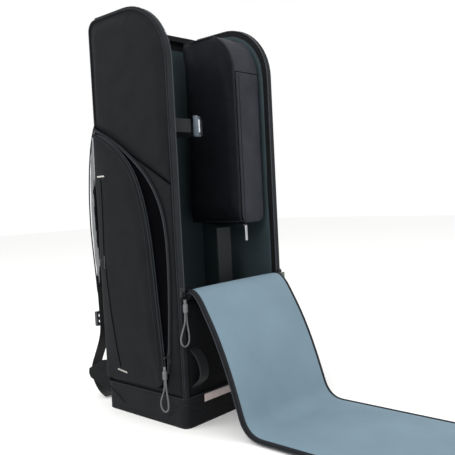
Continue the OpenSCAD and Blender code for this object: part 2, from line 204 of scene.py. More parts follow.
def napped(name, base, rough, sheen, spread):
    """A brushed lining: short fibres lying every way, which scatter a soft sheen."""
    made, tree, principled, place = shader(name, {
        "Roughness": rough, "Sheen Weight": sheen, "Sheen Roughness": 0.35, "Specular IOR Level": 0.2,
        "Sheen Tint": tuple(min(1, c * 1.5 + 0.1) for c in base[:3]) + (1,)})
    # fibres are about 0.05 mm; 0.9 mm is as coarse as they have to be to show
    fibres = node(tree, "ShaderNodeTexNoise", {"Vector": place, "Scale": 1100.0, "Detail": 5.0, "Roughness": 0.7})
    drift = node(tree, "ShaderNodeTexNoise", {"Vector": place, "Scale": 16.0, "Detail": 2.0})
    soft = bump(tree, drift.outputs["Fac"], 0.5, 2.2)
    tree.links.new(bump(tree, fibres.outputs["Fac"], 0.4, 0.3, soft), principled.inputs["Normal"])
    toned(tree, principled, base, place, spread, 9.0)
    return made


def spacer_mesh(name, base):
    """Knitted spacer mesh: open cells about 3 mm across over dark foam, matt and slightly furry."""
    made, tree, principled, place = shader(name, {
        "Roughness": 0.85, "Sheen Weight": 0.3, "Specular IOR Level": 0.25})
    cells = node(tree, "ShaderNodeTexVoronoi", {"Vector": place, "Scale": 330.0, "Randomness": 0.35})
    holes = node(tree, "ShaderNodeValToRGB", {"Fac": cells.outputs["Distance"]})
    dark, light = holes.color_ramp.elements
    dark.position, light.position = 0.12, 0.42
    dark.color, light.color = tuple(c * 0.45 for c in base[:3]) + (1,), base
    tree.links.new(holes.outputs["Color"], principled.inputs["Base Color"])
    tree.links.new(bump(tree, cells.outputs["Distance"], 0.7, 0.8), principled.inputs["Normal"])
    return made


def ribbed(name, base, rib, rough, spread=0.15):
    """Woven webbing or braid: round ribs some millimetres apart, with a dull shine on their backs."""
    made, tree, principled, place = shader(name, {
        "Roughness": rough, "Sheen Weight": 0.04, "Specular IOR Level": 0.2})
    rows = node(tree, "ShaderNodeTexWave", {"Vector": place, "Scale": BAND / (rib * MM)}, bands_direction="Z")
    cross = node(tree, "ShaderNodeTexWave", {"Vector": place, "Scale": BAND / (rib * 0.7 * MM)},
                 bands_direction="DIAGONAL")
    weave = node(tree, "ShaderNodeMath", {0: rows.outputs["Fac"], 1: cross.outputs["Fac"]}, operation="MULTIPLY")
    tree.links.new(bump(tree, weave.outputs["Value"], 0.7, 0.5), principled.inputs["Normal"])
    toned(tree, principled, base, place, spread, 60.0)
    return made


def moulded(name, base, rough, grit, metallic=0.0, spread=0.08):
    """A moulded or cast surface: a fine spark-eroded grain, a little duller where the grain is deep."""
    made, tree, principled, place = shader(name, {"Metallic": metallic})
    grain = node(tree, "ShaderNodeTexNoise", {"Vector": place, "Scale": 1 / (grit * MM), "Detail": 2.0})
    gloss = node(tree, "ShaderNodeMapRange", {
        "Value": grain.outputs["Fac"], "To Min": rough - 0.08, "To Max": rough + 0.1})
    tree.links.new(gloss.outputs["Result"], principled.inputs["Roughness"])
    tree.links.new(bump(tree, grain.outputs["Fac"], 0.25, 0.15), principled.inputs["Normal"])
    toned(tree, principled, base, place, spread, 90.0)
    return made


def make_materials(colours):
    """Every finish on the case, by the name that the pieces ask for."""
    c = colours
    return {
        # fine 300-denier polyester: charcoal, matt, with a faint sheen where it turns away
        "outer": cloth("fine_woven_polyester", c.outer, 1.2, 0.25, 0.62, 0.02, folds=2.5, shine=0.08),
        # padded polyester walls, a shade darker and flatter
        "wall": cloth("padded_woven_polyester", c.wall, 1.2, 0.25, 0.7, 0.015, folds=3.0),
        # tight ballistic nylon of the base, coarser thread
        "base": cloth("ballistic_nylon", c.base, 1.8, 0.4, 0.6, 0.02, folds=1.5),
        # near-black taffeta, nearly without gloss: painted shade inside the open side pocket and along the side
        # seams and the pocket's dart
        "dark": cloth("pocket_lining_taffeta", c.dark, 1.0, 0.15, 0.8, 0.0, folds=4.0, shine=0.01),
        "pouch": cloth("padded_pouch_polyester", c.pouch, 1.2, 0.25, 0.58, 0.12, folds=3.0),
        # the pouch's sides, a deeper navy black than its front: painted shade, a darker and duller copy of the
        # front's fabric for the sides in shadow
        "gusset": cloth("pouch_gusset_polyester", c.gusset, 1.2, 0.25, 0.65, 0.02, folds=3.0),
        "binding": cloth("grosgrain_binding", c.tape, 0.9, 0.3, 0.6, 0.04, patch=60),
        "tape": cloth("woven_zip_tape", c.tape, 0.8, 0.25, 0.55, 0.04, patch=60),
        # brushed tricot, blue grey, soft all over
        "lining": napped("brushed_tricot_lining", c.lining, 0.8, 0.35, 0.07),
        "inside": napped("brushed_case_lining", c.inside, 0.85, 0.25, 0.15),
        "mesh": spacer_mesh("knitted_spacer_mesh", c.mesh),
        "webbing": ribbed("polypropylene_webbing", c.webbing, 1.6, 0.5),
        "sling": ribbed("ribbed_sling_webbing", tuple(v * 1.2 for v in c.webbing[:3]) + (1,), 1.6, 0.5),
        "tab": ribbed("ribbed_side_tab", linear("#59625C"), 1.6, 0.55),
        "cord": ribbed("braided_pull_cord", c.pull, 1.1, 0.6, 0.1),
        "thread": ribbed("bar_tack_thread", c.thread, 0.8, 0.6, 0.08),
        # nylon coil, satin with bright backs
        "teeth": moulded("nylon_coil_teeth", c.teeth, 0.36, 0.8),
        "slider": moulded("painted_die_cast_slider", linear("#17181A"), 0.35, 0.5, 0.2),
        "puller": moulded("satin_die_cast_zinc", linear("#A9ACAE"), 0.34, 0.5, 1.0),
        "rubber": moulded("moulded_grey_rubber", c.pull, 0.55, 0.6),
        "plug": moulded("black_acetal", linear("#23262A"), 0.42, 0.6),
        "socket": moulded("blue_grey_acetal", c.buckle, 0.38, 0.6),
        "label": moulded("printed_label", c.label, 0.5, 0.6, spread=0.04),
        "board": moulded("pressed_stiffener_board", linear("#3A3A3C"), 0.8, 1.5),
        # glass-bead reflective tape: pale pink grey, satin
        "reflective": moulded("glass_bead_reflective_tape", c.reflective, 0.45, 1.2, spread=0.06),
    }


MATERIALS = {}


# ---------------------------------------------------------------- making

def clear():
    """Leaves edit mode and deselects everything, because an operator acts on all that is selected."""
    if bpy.context.object and bpy.context.object.mode != "OBJECT":
        bpy.ops.object.mode_set(mode="OBJECT")
    bpy.ops.object.select_all(action="DESELECT")


def only(obj):
    """Makes obj the one selected and active object."""
    clear()
    obj.select_set(True)
    bpy.context.view_layer.objects.active = obj
    return obj


def modify(obj, kind, **settings):
    """Adds a modifier with its settings and applies it."""
    only(obj)
    made = obj.modifiers.new(kind.lower(), kind)
    for key, value in settings.items():
        setattr(made, key, value)
    bpy.ops.object.modifier_apply(modifier=made.name)
    return obj


def place(obj, plane=TOP, at=(0, 0, 0)):
    """Makes obj a mesh, turns its drawing plane into the frame's and moves it to a point in millimetres."""
    only(obj)
    if obj.type != "MESH":
        bpy.ops.object.convert(target="MESH")
        obj = bpy.context.object
    obj.matrix_world = Matrix.Translation(Vector(at) * MM) @ plane
    bpy.ops.object.transform_apply(location=True, rotation=True, scale=True)
    return obj


def linked(name, mesh):
    """A new object round a mesh, in the scene."""
    obj = bpy.data.objects.new(name, mesh)
    bpy.context.scene.collection.objects.link(obj)
    return obj


def line(name, points, dimensions, closed):
    """A curve through points in metres: flat for 2D, in the frame for 3D."""
    clear()
    bpy.ops.curve.primitive_bezier_curve_add()
    obj = bpy.context.object
    obj.name = obj.data.name = name
    obj.data.dimensions = dimensions
    obj.data.splines.clear()
    spline = obj.data.splines.new("POLY")
    spline.points.add(len(points) - 1)
    for knot, at in zip(spline.points, points):
        knot.co = (*at, 1)
    spline.use_cyclic_u = closed
    return obj


def plate(name, outline, plane, middle, thick, edge):
    """A flat panel with a rounded edge: an outline filled, given thickness and set at a middle depth."""
    obj = line(name, [(a * MM, b * MM, 0) for a, b in outline], "2D", True)
    obj.data.fill_mode = "BOTH"
    obj.data.extrude = (thick / 2 - edge) * MM
    obj.data.bevel_depth = edge * MM
    obj.data.offset = -edge * MM
    obj.data.bevel_resolution = 2
    obj = place(obj, plane, middle)
    only(obj)
    bpy.ops.object.mode_set(mode="EDIT")
    bpy.ops.mesh.select_all(action="SELECT")
    bpy.ops.mesh.remove_doubles(threshold=0.00002)
    bpy.ops.mesh.normals_make_consistent(inside=False)
    bpy.ops.object.mode_set(mode="OBJECT")
    return obj


def bead(name, points, radius, closed=False, sides=2):
    """A round bead of piping or thread through points in the frame, in millimetres."""
    obj = line(name, [Vector(at) * MM for at in points], "3D", closed)
    obj.data.bevel_depth = radius * MM
    obj.data.bevel_resolution = sides
    obj.data.use_fill_caps = not closed
    return place(obj)


def loft(name, route, across, profile):
    """A skin along a route: profile's (across, out) points are carried along it. Everything is in millimetres.

    out is square to the route and to across, on the route's right when across points at the viewer."""
    route = [Vector(p) for p in route]
    obj = linked(name, bpy.data.meshes.new(name))
    shape = bmesh.new()
    last = len(route) - 1
    rings = []
    for i, at in enumerate(route):
        before = route[i - 1] if i else at
        after = route[i + 1] if i < last else at
        ahead = (after - before).normalized()
        out = ahead.cross(across).normalized()
        rings.append([shape.verts.new((at + across * a + out * n) * MM) for a, n in profile])
    count = len(profile)
    for near, far in zip(rings, rings[1:]):
        for k in range(count):
            shape.faces.new((near[k], near[(k + 1) % count], far[(k + 1) % count], far[k]))
    shape.faces.new(rings[0])
    shape.faces.new(list(reversed(rings[-1])))
    bmesh.ops.recalc_face_normals(shape, faces=shape.faces)
    shape.to_mesh(obj.data)
    shape.free()
    return obj


def oblong(width, thick, edge=0.6, crown=0.0, steps=2):
    """A band's cross-section: a rectangle with softened corners whose two broad faces swell by crown."""
    w, t = width / 2, thick / 2
    upper = [(-w, 0)]
    for i in range(steps + 1):
        share = i / steps
        upper.append((-w + edge + share * (2 * w - 2 * edge), t + crown * (1 - (2 * share - 1) ** 2)))
    upper.append((w, 0))
    return upper + [(a, -n) for a, n in reversed(upper[1:-1])]


def smooth_route(points, steps=5):
    """Points of a smooth line through the given ones."""
    p = [Vector(v) for v in points]
    p = [p[0] * 2 - p[1]] + p + [p[-1] * 2 - p[-2]]
    made = []
    for i in range(1, len(p) - 2):
        for k in range(steps):
            t = k / steps
            a, b, c, d = p[i - 1:i + 3]
            made.append(0.5 * (2 * b + (c - a) * t + (2 * a - 5 * b + 4 * c - d) * t ** 2
                               + (3 * b - a - 3 * c + d) * t ** 3))
    return made + [p[-2]]


def walk(points, step):
    """Evenly spaced (point, direction) along a line of points."""
    made, due = [], step / 2
    for a, b in zip(points, points[1:]):
        a, b = Vector(a), Vector(b)
        gap = (b - a).length
        while due <= gap:
            made.append((a.lerp(b, due / gap), (b - a).normalized()))
            due += step
        due -= gap
    return made


def teeth(name, route, size=(3.0, 1.9, 1.5)):
    """A row of zip teeth along a route: one small tooth, wide across the case, copied at each pitch."""
    clear()
    bpy.ops.mesh.primitive_cube_add(size=1)
    tooth = bpy.context.object
    tooth.dimensions = [s * MM for s in size]
    bpy.ops.object.transform_apply(scale=True)
    modify(tooth, "BEVEL", width=0.35 * MM, segments=1)
    row = bmesh.new()
    for at, ahead in walk(route, bpy.context.scene.case_sizes.tooth / MM):
        turn = Matrix((X, ahead, ahead.cross(X))).transposed().to_4x4()
        copy = tooth.data.copy()
        copy.transform(Matrix.Translation(at * MM) @ turn)
        row.from_mesh(copy)
        bpy.data.meshes.remove(copy)
    bpy.data.objects.remove(tooth)
    obj = linked(name, bpy.data.meshes.new(name))
    bmesh.ops.recalc_face_normals(row, faces=row.faces)
    row.to_mesh(obj.data)
    row.free()
    return obj


def joined(name, *objs):
    """Several meshes as one piece."""
    clear()
    for o in objs:
        o.select_set(True)
    bpy.context.view_layer.objects.active = objs[0]
    bpy.ops.object.join()
    objs[0].name = name
    return objs[0]


def from_node(name, part, edge, segments=2):
    """A copy of a CAD node, merged and flattened, with its edges rounded as the moulding's are."""
    obj = linked(name, frame["nodes"][part].data.copy())
    obj.data.materials.clear()
    only(obj)
    bpy.ops.object.mode_set(mode="EDIT")
    bpy.ops.mesh.select_all(action="SELECT")
    bpy.ops.mesh.remove_doubles(threshold=0.00001)
    bpy.ops.mesh.customdata_custom_splitnormals_clear()
    bpy.ops.mesh.dissolve_limited(angle_limit=math.radians(2))
    bpy.ops.object.mode_set(mode="OBJECT")
    if edge:
        modify(obj, "BEVEL", width=edge * MM, segments=segments, limit_method="ANGLE",
               angle_limit=math.radians(40))
    return obj


def remesh(obj, voxel):
    """Gives a solid an even skin of small faces."""
    only(obj)
    obj.data.remesh_voxel_size = voxel
    bpy.ops.object.voxel_remesh()
    return obj


SWELL_FRAMES = 14


def swell(obj, cap, pressure, pinned=None, voxel=None):
    """Fills a padded piece: cloth under pressure, each point moving at most cap millimetres, then subdivided.

    pinned tells, for a point in millimetres, whether it is sewn down."""
    remesh(obj, voxel or bpy.context.scene.case_sizes.voxel)
    modify(obj, "SMOOTH", factor=0.5, iterations=3)
    rest = [v.co.copy() for v in obj.data.vertices]
    only(obj)
    made = obj.modifiers.new("cloth", "CLOTH")
    made.settings.quality = 4
    made.settings.use_pressure = True
    made.settings.uniform_pressure_force = pressure
    made.settings.effector_weights.gravity = 0
    held = [i for i, at in enumerate(rest) if pinned and pinned(at / MM)]
    if held:
        obj.vertex_groups.new(name="sewn").add(held, 1.0, "REPLACE")
        made.settings.vertex_group_mass = "sewn"
    for at_frame in range(1, SWELL_FRAMES + 1):
        bpy.context.scene.frame_set(at_frame)
    bpy.ops.object.modifier_apply(modifier=made.name)
    bpy.context.scene.frame_set(1)
    obj.vertex_groups.clear()
    for vert, start in zip(obj.data.vertices, rest):
        moved = vert.co - start
        if moved.length > cap * MM:
            vert.co = start + moved.normalized() * cap * MM
    modify(obj, "SMOOTH", factor=0.5, iterations=2)
    modify(obj, "SUBSURF", levels=1, render_levels=1)
    return obj


def crease(obj, depth, size):
    """Pushes a soft skin in and out by slow folds, size millimetres wide, as slack fabric lies."""
    folds = bpy.data.textures.new(obj.name + "_folds", "CLOUDS")
    folds.noise_scale = size * MM
    folds.noise_depth = 1
    modify(obj, "DISPLACE", texture=folds, texture_coords="LOCAL", strength=depth * MM, mid_level=0.5)
    return obj


def on_skin(obj, points, axis, out=0.3):
    """Points of a side or front drawing carried to obj's skin, seen from outside along axis."""
    found = []
    for a, b in points:
        start, way = (Vector((a, -600, b)), Y) if axis == "front" else (Vector((axis * 400, a, b)), X * -axis)
        hit, at, _normal, _face = obj.ray_cast(start * MM, way)
        if hit:
            found.append(at / MM - way * out)
        else:
            found.append(found[-1] if found else start)
    return found


def bar_tack(name, start, end, side, width):
    """A bar tack: a close zigzag of thread from start to end, laid on the fabric."""
    start, end, side = Vector(start), Vector(end), Vector(side)
    count = max(6, int((end - start).length / 1.3))
    points = [start.lerp(end, i / count) + side * (width / 2) * (1 if i % 2 else -1) for i in range(count + 1)]
    return bead(name, points, 0.65, sides=1)


def done(obj, body, finish, *nodes, slot=None, angle=40, fill=None):
    """Finishes a piece: its material, shading, body and the CAD nodes it stands for. slot and fill are not used.
    """
    only(obj)
    if not obj.data.materials:
        obj.data.materials.append(MATERIALS[finish])
    bpy.ops.object.shade_smooth_by_angle(angle=math.radians(angle), keep_sharp_edges=False)
    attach(obj, body)
    if nodes:
        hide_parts(*nodes)
    return obj


def paint(obj, finishes, choose):
    """Gives each face one of several finishes: choose(face middle in millimetres, normal) is its index."""
    obj.data.materials.clear()
    for name in finishes:
        obj.data.materials.append(MATERIALS[name])
    for face in obj.data.polygons:
        face.material_index = choose(face.center / MM, face.normal)


def side_profile(inset, low, until_y=None):
    """The side wall's outline from its front foot up, over and down its back, inset by some millimetres."""
    front, back, top = FRONT_Y + inset, BACK_Y - inset, TOP_Z - inset
    r1, r2 = FRONT_TOP_R - inset, max(BACK_TOP_R - inset, 3)
    points = [(front, low)]
    points += [(front, low + (top - r1 - low) * i / 12) for i in range(1, 12)]
    points += [(front + r1 - r1 * math.cos(math.radians(a)), top - r1 + r1 * math.sin(math.radians(a)))
               for a in range(0, 91, 6)]
    if until_y is not None:
        return points + [(until_y, top)]
    points += [(back - r2 + r2 * math.sin(math.radians(a)), top - r2 + r2 * math.cos(math.radians(a)))
               for a in range(0, 91, 15)]
    points += [(back, top - r2 - (top - r2 - low) * i / 12) for i in range(1, 12)]
    return points + [(back, low)]


def seam_z(y):
    """Height of the sloping side seam at a depth."""
    (y0, z0), (y1, z1) = SEAM
    return z0 + (z1 - z0) * (y - y0) / (y1 - y0)


def rounded(*corners):
    """An outline with four rounded corners, each (across, up, radius), from the upper right one leftwards."""
    return [(a + r * math.cos(math.radians(start + turn)), b + r * math.sin(math.radians(start + turn)))
            for (a, b, r), start in zip(corners, (0, 90, 180, 270)) for turn in range(0, 91, 15)]


def pick(obj, kind, choose):
    """In edit mode, selects those of the mesh's edges or faces that choose names."""
    bpy.context.tool_settings.mesh_select_mode = (False, kind == "edges", kind == "faces")
    bpy.ops.mesh.select_all(action="DESELECT")
    shape = bmesh.from_edit_mesh(obj.data)
    for element in getattr(shape, kind):
        element.select_set(choose(element))
    bmesh.update_edit_mesh(obj.data)


def at_x(points, x):
    """Side points (y, z) set at an x."""
    return [Vector((x, a, b)) for a, b in points]


# ---------------------------------------------------------------- routes that several pieces share

# Curved front edge of the side pocket's panel and the edge of the case's side that it zips to, as (y, z)
POCKET_EDGE = [(-62, 74), (-69, 90), (-69, 107), (-66, 150), (-62, 200), (-58, 250), (-54, 300), (-49, 345),
               (-41, 388), (-29, 428), (-12, 462), (14, 492), (48, 518), (84, 536), (102, 544)]
POCKET_MOUTH = [(-74, 96), (-81, 150), (-87, 220), (-90, 300), (-86, 362), (-72, 408), (-46, 448), (-10, 482),
                (32, 512), (72, 534), (104, 549)]
POCKET_DART = [(75, 450), (75, 411), (78, 340), (79, 305), (76, 280), (70, 230), (64, 179), (50, 93)]

# Zip pull's loop below its barrel, as (x, z); part of the frame's own route
LOOP = [(-1.7, 0), (-1.7, -5), (-2, -11), (-3, -17), (-5, -23), (-8, -29), (-11, -35), (-13.5, -41),
        (-14.5, -47), (-13, -53), (-9.5, -57.5), (-4.5, -59.5), (0.5, -58), (4, -54), (5.5, -48), (5.5, -42),
        (5, -36), (4, -30), (3, -24), (2.3, -18), (1.9, -11), (1.7, -5), (1.7, 0)]

# Strap pads, webbing and sling in side view, as (y, z)
PAD_ROUTE = [(114.5, 626), (114.5, 610), (120, 594), (132, 577), (146, 556), (158, 525), (167, 485), (173, 440),
             (176, 395), (176, 350), (173, 305), (169, 262), (166, 222)]
WEBBING_ROUTE = [(168.5, 256), (167, 238), (165, 219), (164, 190), (164, 148), (170, 124), (184, 96), (200, 66),
                 (203, 46), (194, 26), (178, 11), (160, 4)]
SLING_ROUTE = [(94, 214), (40, 212), (-6, 212), (-30, 215), (-43, 223), (-48.5, 236), (-49.5, 260), (-49.5, 300),
               (-49.5, 344)]

# Flap hinges in side view, from the fold to the free end, and the bodies between them
FLAP_HINGES = [(joint["pos_m"][1] / MM, joint["pos_m"][2] / MM) for joint in frame["joints"]
               if joint["name"].startswith("flap_")]
FLAP_END = (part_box("flap_panel_6")[0].y / MM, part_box("flap_panel_6")[0].z / MM + 5)
FLAP_NODES = ["flap_fold"] + [f"flap_panel_{k}" for k in range(1, 7)]


# ---------------------------------------------------------------- pieces

class CASE_OT_stage(bpy.types.Operator):
    """Adds the camera, the soft studio lights and the pale floor"""

    bl_idname = "case.stage"
    bl_label = "Camera, lights and floor"

    def execute(self, context):
        scene = context.scene
        # the camera stands to the case's left front, at about half its height, turned and tipped a little
        yaw, pitch, roll = math.radians(-47.7), math.radians(3.0), math.radians(-2.9)
        ahead = Vector((-math.sin(yaw) * math.cos(pitch), math.cos(yaw) * math.cos(pitch), -math.sin(pitch)))
        right = Vector((math.cos(yaw), math.sin(yaw), 0))
        up = right.cross(ahead)
        right, up = (math.cos(roll) * right + math.sin(roll) * up, -math.sin(roll) * right + math.cos(roll) * up)
        clear()
        bpy.ops.object.camera_add(location=(-0.889, -0.908, 0.410))
        camera = context.object
        camera.name = "camera"
        camera.matrix_world = (Matrix.Translation(camera.location)
                               @ Matrix((right, up, -ahead)).transposed().to_4x4())
        camera.data.sensor_width, camera.data.lens = 36, 49.8
        scene.camera = camera

        world = bpy.data.worlds.new("studio")
        world.use_nodes = True
        sky = world.node_tree.nodes["Background"]
        sky.inputs["Color"].default_value = (1, 1, 1, 1)
        sky.inputs["Strength"].default_value = 1.0
        scene.world = world
        scene.view_settings.view_transform = "Standard"

        lights = {"key": ((-2.3, -0.9, 1.9), 1.5, 40), "fill": ((0.8, -2.6, 1.4), 1.6, 16),
                  "top": ((-0.2, 0.2, 2.6), 1.8, 12), "rim": ((-1.9, 1.2, 1.5), 1.2, 12)}
        for name, (at, size, power) in lights.items():
            bpy.ops.object.light_add(type="AREA", location=at)
            lamp = context.object
            lamp.name, lamp.data.size, lamp.data.energy = name, size, power
            lamp.rotation_euler = (Vector((0, -0.1, 0.35)) - Vector(at)).to_track_quat("-Z", "Y").to_euler()

        bpy.ops.mesh.primitive_plane_add(size=14)
        floor = context.object
        floor.name = "floor"
        floor.data.materials.append(moulded("pale_studio_floor", linear("#F7F7F6"), 0.85, 2.0, spread=0.01))
        return {"FINISHED"}


class CASE_OT_pulls(bpy.types.Operator):
    """Adds the three zip pulls: a braided cord loop in a moulded barrel, each on its own slider"""

    bl_idname = "case.pulls"
    bl_label = "Zip pulls and sliders"

    def execute(self, context):
        radius = context.scene.case_sizes.cord / 2
        for side, turn in (("left", 1), ("right", -1), ("pocket", 0)):
            low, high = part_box(f"{side}_pull_barrel")
            at = Vector(((low.x + high.x) / 2, (low.y + high.y) / 2, low.z))
            # the pocket's loop is turned a quarter, so that it lies along the side of the case
            way = Vector((turn, 0, 0)) if turn else Vector((0, -1, 0))
            points = [at + way * (a * MM) + Z * (b * MM) for a, b in LOOP]
            clear()
            bpy.ops.curve.primitive_bezier_curve_add()
            cord = context.object
            cord.name = f"{side}_pull_cord_loop"
            cord.data.dimensions = "3D"
            cord.data.splines.clear()
            spline = cord.data.splines.new("BEZIER")
            spline.bezier_points.add(len(points) - 1)
            for knot, p in zip(spline.bezier_points, points):
                knot.co = p
                knot.handle_left_type = knot.handle_right_type = "AUTO"
            cord.data.resolution_u = 3
            cord.data.bevel_depth = radius
            cord.data.bevel_resolution = 3
            cord.data.use_fill_caps = True
            cord.data.materials.append(MATERIALS["cord"])
            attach(cord, f"{side}_pull")
            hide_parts(f"{side}_pull_cord")

            barrel = from_node(f"{side}_pull_barrel_grip", f"{side}_pull_barrel", 0.8, 3)
            grips = [bead(f"{side}_grip_ring_{k}", [
                at / MM + Vector((4.1 * math.cos(a), 4.1 * math.sin(a), z))
                for a in (math.radians(15 * i) for i in range(24))], 0.55, closed=True, sides=1)
                for k, z in enumerate((3.5, 7, 10.5))]
            barrel = joined(f"{side}_pull_barrel_grip", barrel, *grips)
            done(barrel, f"{side}_pull", "rubber", f"{side}_pull_barrel", slot="pull_grey")

            slider = from_node(f"{side}_zip_slider", f"{side}_slider", 0.7, 3)
            done(slider, f"{side}_slider", "slider", f"{side}_slider", slot="slider_metal")
        return {"FINISHED"}


class CASE_OT_base(bpy.types.Operator):
    """Adds the rugged base cover, its rim binding, the stitched edges of its corner patches and the foam bed"""

    bl_idname = "case.base"
    bl_label = "Base cover and bed"

    def execute(self, context):
        low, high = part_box("base_cover")
        clear()
        bpy.ops.mesh.primitive_cube_add(size=1, location=(low + high) / 2)
        cover = context.object
        cover.name = "base_cover_fabric"
        cover.dimensions = high - low
        bpy.ops.object.transform_apply(location=True, rotation=True, scale=True)
        corner_r, fabric, depth = 13, 3.2, 49
        bpy.ops.object.mode_set(mode="EDIT")
        pick(cover, "edges", lambda edge: abs((edge.verts[0].co - edge.verts[1].co).z) > 0.01)
        bpy.ops.mesh.bevel(offset=corner_r * MM, segments=6, affect="EDGES")
        # the underside turns in over its edge
        pick(cover, "faces", lambda face: face.normal.z < -0.9)
        bpy.ops.mesh.inset(thickness=3 * MM, depth=0)
        pick(cover, "faces", lambda face: face.normal.z > 0.9)
        bpy.ops.mesh.inset(thickness=fabric * MM, depth=0)
        bpy.ops.mesh.extrude_region_move(TRANSFORM_OT_translate={"value": (0, 0, -depth * MM)})
        bpy.ops.object.mode_set(mode="OBJECT")
        remesh(cover, 0.003)
        modify(cover, "SMOOTH", factor=0.5, iterations=4)
        crease(cover, 2.2, 70)
        # it stands flat on the floor
        for vert in cover.data.vertices:
            if vert.co.z < 1.5 * MM:
                vert.co.z = 0.0
        done(cover, "case", "base", "base_cover", slot="base_fabric", fill=0.6)

        w, d, r = (high.x - low.x) / 2 / MM, (high.y - low.y) / 2 / MM, corner_r
        rim = rounded((w - r, d - r, r), (r - w, d - r, r), (r - w, r - d, r), (w - r, r - d, r))
        rim_cord = bead("base_rim_binding", [(a, b, BASE_TOP) for a, b in rim], 1.7, closed=True)
        done(rim_cord, "case", "binding", slot="base_fabric")

        # a heavier patch over each corner: only its curved top edge, stitched down, is drawn as a thin bead
        patches = []
        for sx, sy in ((-1, -1), (1, -1), (-1, 1), (1, 1)):
            route = []
            for a in range(-60, 151, 10):
                t = min(max(a, 0), 90)
                run = (a - t) * 0.6
                lift = 43 - 26 * (abs(a - 45) / 105) ** 2
                px = w - r + (r + 0.8) * math.cos(math.radians(t)) - max(run, 0)
                py = d - r + (r + 0.8) * math.sin(math.radians(t)) + min(run, 0)
                route.append((sx * px, sy * py, lift))
            patches.append(bead(f"corner_patch_{len(patches)}", route, 0.9, sides=1))
        done(joined("base_corner_seams", *patches), "case", "binding", slot="base_fabric")

        bed_low, bed_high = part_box("foam_bed")
        middle = (bed_low + bed_high) / 2 / MM
        size = (bed_high - bed_low) / MM
        bed = plate("foam_bed_pad", [(-size.x / 2, -size.y / 2), (size.x / 2, -size.y / 2),
                                     (size.x / 2, size.y / 2), (-size.x / 2, size.y / 2)],
                    TOP, middle, size.z - 1, 4)
        remesh(bed, 0.005)
        modify(bed, "SMOOTH", factor=0.5, iterations=2)
        crease(bed, 2.0, 60)
        done(bed, "case", "inside", "foam_bed", slot="foam", fill=0.8)
        board = frame["nodes"]["base_board"]
        board.data.materials.clear()
        board.data.materials.append(MATERIALS["board"])
        return {"FINISHED"}


def in_mouth(at):
    """Whether a point in millimetres lies behind the edge that the side pocket zips to."""
    if at.z > POCKET_MOUTH[-1][1]:
        return False
    for (y0, z0), (y1, z1) in zip(POCKET_MOUTH, POCKET_MOUTH[1:]):
        if z0 <= at.z <= z1:
            return at.y > y0 + (y1 - y0) * (at.z - z0) / (z1 - z0) - 3
    return at.y > POCKET_MOUTH[0][0]


def side_panel(name, side, upper, node_name):
    """One padded outer panel of a side wall, above or below the sloping seam, sewn down round its edge."""
    inset = 5.0
    ring = side_profile(inset, BASE_TOP + 1)
    shape = []
    count = len(ring)
    for i, (a, b) in enumerate(ring):
        above = b > seam_z(a)
        if above == upper:
            shape.append((a, b))
        nxt = ring[(i + 1) % count]
        if (nxt[1] > seam_z(nxt[0])) != above:
            shape.append((nxt[0], seam_z(nxt[0]) + (1.2 if upper else -1.2)))
    thick = 8.0
    obj = plate(name, shape, SIDE, (side * (OUTER_X - thick / 2 + 2.6), 0, 0), thick, 1.5)

    def sewn(at):
        return abs(at.x) < OUTER_X - 1.0 or (side < 0 and not upper and in_mouth(at))
    swell(obj, 4.5, 6.0, sewn)
    crease(obj, 1.5, 110)
    return done(obj, "case", "outer", node_name, slot="outer_fabric", fill=0.5)


class CASE_OT_walls(bpy.types.Operator):
    """Adds the padded side walls, their outer panels and the seams between them"""

    bl_idname = "case.walls"
    bl_label = "Side walls"

    def execute(self, context):
        piping = context.scene.case_sizes.piping / MM
        for side, name in ((-1, "left"), (1, "right")):
            wall = plate(f"{name}_wall_padding", side_profile(0, 4), SIDE,
                         (side * (OUTER_X + INNER_X) / 2, 0, 0), OUTER_X - INNER_X - 0.4, 3.5)
            done(wall, "case", "wall", f"{name}_wall", slot="wall_fabric", fill=0.7)
            side_panel(f"{name}_upper_panel", side, True, f"{name}_upper_skin")
            side_panel(f"{name}_lower_panel", side, False, f"{name}_lower_skin")
            edge = at_x(side_profile(2.6, BASE_TOP), side * (OUTER_X + 0.4))
            done(bead(f"{name}_edge_piping", edge, piping), "case", "binding", slot="outer_fabric")
            # a near-black bead along the sloping seam: painted shade in its crease
            seam = [(side * (OUTER_X + 1.6), y, seam_z(y)) for y in range(104, -105, -8)]
            done(bead(f"{name}_seam_fold", seam, 1.1), "case", "dark", slot="outer_fabric")
        return {"FINISHED"}


class CASE_OT_rims(bpy.types.Operator):
    """Adds the zip tape, teeth and piping that run up and over each side wall"""

    bl_idname = "case.rims"
    bl_label = "Rim zips"

    def execute(self, context):
        for side, name in ((-1, "left"), (1, "right")):
            low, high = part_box(f"{name}_rim_zip")
            middle = (low.x + high.x) / 2 / MM
            width = (high.x - low.x) / MM
            # up the straight front the tape stands a little proud
            edge = side_profile(-0.7, 56, until_y=86)
            route = at_x([(y - 0.7 if z < TOP_Z - 60 else y, z) for y, z in edge], middle)
            tape = loft(f"{name}_rim_tape", route, X, oblong(width, 1.5, 0.5))
            outer = bead(f"{name}_rim_outer_cord",
                         at_x(side_profile(-0.4, 56, until_y=86), side * (abs(middle) + width / 2 - 0.8)), 1.9)
            inner = bead(f"{name}_rim_inner_cord",
                         at_x(side_profile(-0.2, 56, until_y=86), side * (abs(middle) - width / 2 + 0.4)), 1.2)
            done(joined(f"{name}_rim_zip_tape", tape, outer, inner), "case", "tape", f"{name}_rim_zip",
                 slot="zip_tape")
            track = at_x(side_profile(-0.9, 236, until_y=84), side * (INNER_X + 1.2))
            done(teeth(f"{name}_rim_zip_teeth", track), "case", "teeth", slot="zip_tape")
        return {"FINISHED"}


